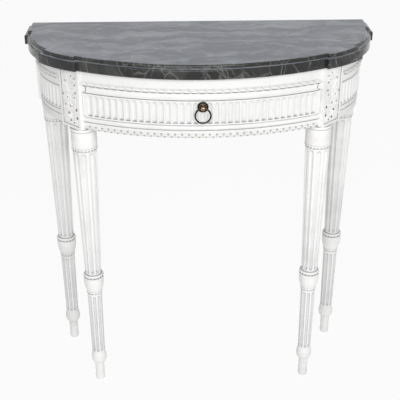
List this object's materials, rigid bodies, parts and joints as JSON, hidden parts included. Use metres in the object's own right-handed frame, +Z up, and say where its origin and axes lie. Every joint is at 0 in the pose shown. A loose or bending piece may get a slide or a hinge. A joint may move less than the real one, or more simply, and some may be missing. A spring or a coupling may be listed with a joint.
{
  "type": "demilune console table",
  "caption": "Half-moon console table with a moulded marble top, a curved fluted apron with a drawer and ring pull, and turned fluted legs.",
  "frame": {"origin": "on the floor, under the middle of the top's bounding box", "axes": "+Z up, +Y back to the wall, +X to the right of a person facing the drawer; the drawer opens along -Y"},
  "size_m": [0.728, 0.302, 0.8],
  "materials": {
    "painted_wood": "antiqued white paint",
    "plain_wood": "bare aged wood",
    "marble": "polished grey marble",
    "bronze": "dark antique bronze",
    "iron": "dull iron"
  },
  "bodies": {
    "frame": {"back_rail": "plain_wood", "corner_return_left": "painted_wood", "corner_return_right": "painted_wood", "drawer_guide_left": "plain_wood", "drawer_guide_right": "plain_wood", "drawer_kicker_left": "plain_wood", "drawer_kicker_right": "plain_wood", "drawer_runner_left": "plain_wood", "drawer_runner_right": "plain_wood", "drawer_stop_left": "plain_wood", "drawer_stop_right": "plain_wood", "front_bottom_rail": "painted_wood", "front_leaf_moulding": "painted_wood", "front_ribbon_moulding": "painted_wood", "front_top_rail": "painted_wood", "leg_back_left": "painted_wood", "leg_back_right": "painted_wood", "leg_front_left": "painted_wood", "leg_front_right": "painted_wood", "marble_top": "marble", "side_rail_left": "painted_wood", "side_rail_right": "painted_wood", "side_ribbon_moulding_left": "painted_wood", "side_ribbon_moulding_right": "painted_wood", "track_screws": "iron"},
    "drawer": {"drawer_front": "painted_wood", "drawer_side_left": "plain_wood", "drawer_side_right": "plain_wood", "drawer_back": "plain_wood", "drawer_bottom": "plain_wood", "drawer_bottom_nails": "iron", "pull_rosette": "bronze", "pull_eye_bolt": "bronze", "pull_washer": "iron", "pull_nut": "iron"},
    "ring": {"pull_ring": "bronze"}
  },
  "joints": [
    {"name": "drawer_slide", "type": "slide", "parent": "frame", "child": "drawer", "axis": [0, -1, 0], "range_m": [0, 0.15]},
    {"name": "ring_swing", "type": "hinge", "parent": "drawer", "child": "ring", "pos_m": [0, -0.1455, 0.715], "axis": [-1, 0, 0], "range_deg": [0, 100]}
  ]
}
